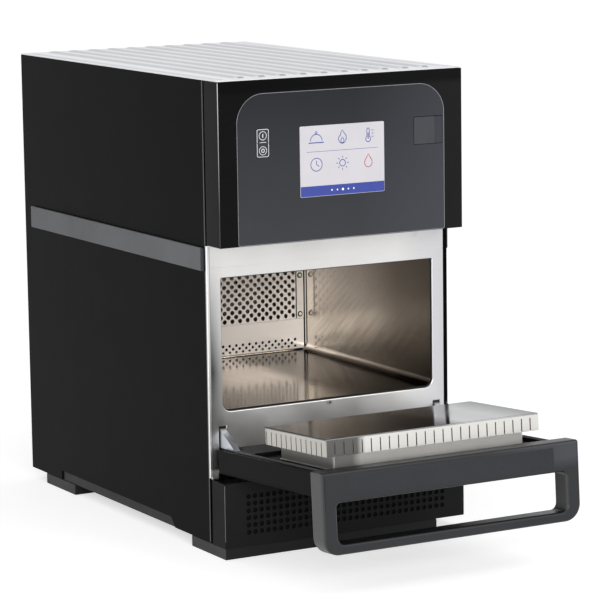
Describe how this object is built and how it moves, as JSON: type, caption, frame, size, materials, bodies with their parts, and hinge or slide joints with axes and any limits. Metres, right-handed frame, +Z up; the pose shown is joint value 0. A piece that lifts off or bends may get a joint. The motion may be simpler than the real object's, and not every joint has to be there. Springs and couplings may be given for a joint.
{
  "type": "speed oven",
  "caption": "Countertop speed oven with a touch screen above a stainless cavity, a drop-down door with a loop handle, a ribbed top and a perforated lower vent panel.",
  "frame": {"origin": "centre of the overall box, door handle to rear gland, at the height of the feet's underside", "axes": "+X to the oven's right as seen from the front, +Y to the rear, +Z up"},
  "size_m": [0.368, 0.8592, 0.609],
  "materials": {
    "black_paint": "gloss",
    "door_black": "gloss",
    "fascia_grey": "satin",
    "port_cover": "gloss",
    "port_black": "matte",
    "screen": "gloss",
    "strip_grey": "satin",
    "foot_grey": "matte",
    "top_steel": "satin",
    "frame_steel": "satin",
    "cavity_steel": "satin",
    "grille_steel": "satin",
    "choke_steel": "polished",
    "surround_black": "satin",
    "handle_plastic": "satin",
    "zinc": "galvanised",
    "bright_steel": "ground",
    "guide_metal": "bright",
    "motor_metal": "satin",
    "heater_metal": "oxidised",
    "insulation": "fibrous",
    "board": "satin",
    "fan_plastic": "matte",
    "gland_plastic": "matte",
    "filter_foam": "matte"
  },
  "bodies": {
    "cabinet": {"air_filter": "filter_foam", "air_grille": "grille_steel", "air_return_panel": "grille_steel", "base_tray": "zinc", "cavity_insulation": "insulation", "cavity_liner": "cavity_steel", "component_shelf": "zinc", "control_board": "board", "control_fascia": "fascia_grey", "control_housing": "black_paint", "cooling_fan_shroud": "fan_plastic", "cord_gland": "gland_plastic", "display_module": "guide_metal", "door_switch_left": "fan_plastic", "door_switch_right": "fan_plastic", "fan_chamber": "zinc", "fan_motor": "motor_metal", "foot_bar_front": "foot_grey", "foot_bar_rear": "foot_grey", "front_frame": "frame_steel", "grille_screw_left_high": "grille_steel", "grille_screw_left_low": "grille_steel", "grille_screw_right_high": "grille_steel", "grille_screw_right_low": "grille_steel", "heater_element": "heater_metal", "high_voltage_capacitor": "guide_metal", "hinge_bracket_left": "zinc", "hinge_bracket_right": "zinc", "key_board": "board", "magnetron_left": "guide_metal", "magnetron_right": "guide_metal", "power_board": "board", "power_transformer": "motor_metal", "rear_panel": "black_paint", "side_panel_left": "black_paint", "side_panel_right": "black_paint", "side_strip_left": "strip_grey", "side_strip_right": "strip_grey", "top_panel": "top_steel", "touch_screen": "screen", "usb_port": "port_black", "vent_panel": "black_paint", "waveguide_left": "guide_metal", "waveguide_right": "guide_metal"},
    "door": {"choke_pedestal": "choke_steel", "choke_plate": "choke_steel", "door_handle": "handle_plastic", "door_outer_panel": "door_black", "door_stay_left": "zinc", "door_stay_right": "zinc", "door_surround": "surround_black", "hinge_pin_left": "bright_steel", "hinge_pin_right": "bright_steel"},
    "port_cover": {"usb_cover": "port_cover"},
    "on_key": {"key_on": "fascia_grey"},
    "off_key": {"key_off": "fascia_grey"},
    "hot_air_wheel": {"convection_fan": "bright_steel", "fan_shaft": "bright_steel"},
    "cooling_wheel": {"cooling_fan": "fan_plastic", "cooling_fan_shaft": "bright_steel"}
  },
  "joints": [
    {"name": "door_hinge", "type": "hinge", "parent": "cabinet", "child": "door", "pos_m": [0, -0.15416, 0.1177], "axis": [-1, 0, 0], "range_deg": [0, 86.2]},
    {"name": "port_cover_hinge", "type": "hinge", "parent": "cabinet", "child": "port_cover", "pos_m": [0.14925, -0.16371, 0.52901], "axis": [0, 0, 1], "range_deg": [0, 100]},
    {"name": "on_key_press", "type": "slide", "parent": "cabinet", "child": "on_key", "axis": [0, 1, 0], "range_m": [0, 0.0006], "stiffness_N_per_m": 300},
    {"name": "off_key_press", "type": "slide", "parent": "cabinet", "child": "off_key", "axis": [0, 1, 0], "range_m": [0, 0.0006], "stiffness_N_per_m": 300},
    {"name": "hot_air_wheel_spin", "type": "hinge", "parent": "cabinet", "child": "hot_air_wheel", "pos_m": [0, 0.22724, 0.276], "axis": [0, 1, 0], "continuous": true},
    {"name": "cooling_wheel_spin", "type": "hinge", "parent": "cabinet", "child": "cooling_wheel", "pos_m": [0, -0.03476, 0.0762], "axis": [0, 1, 0], "continuous": true}
  ]
}
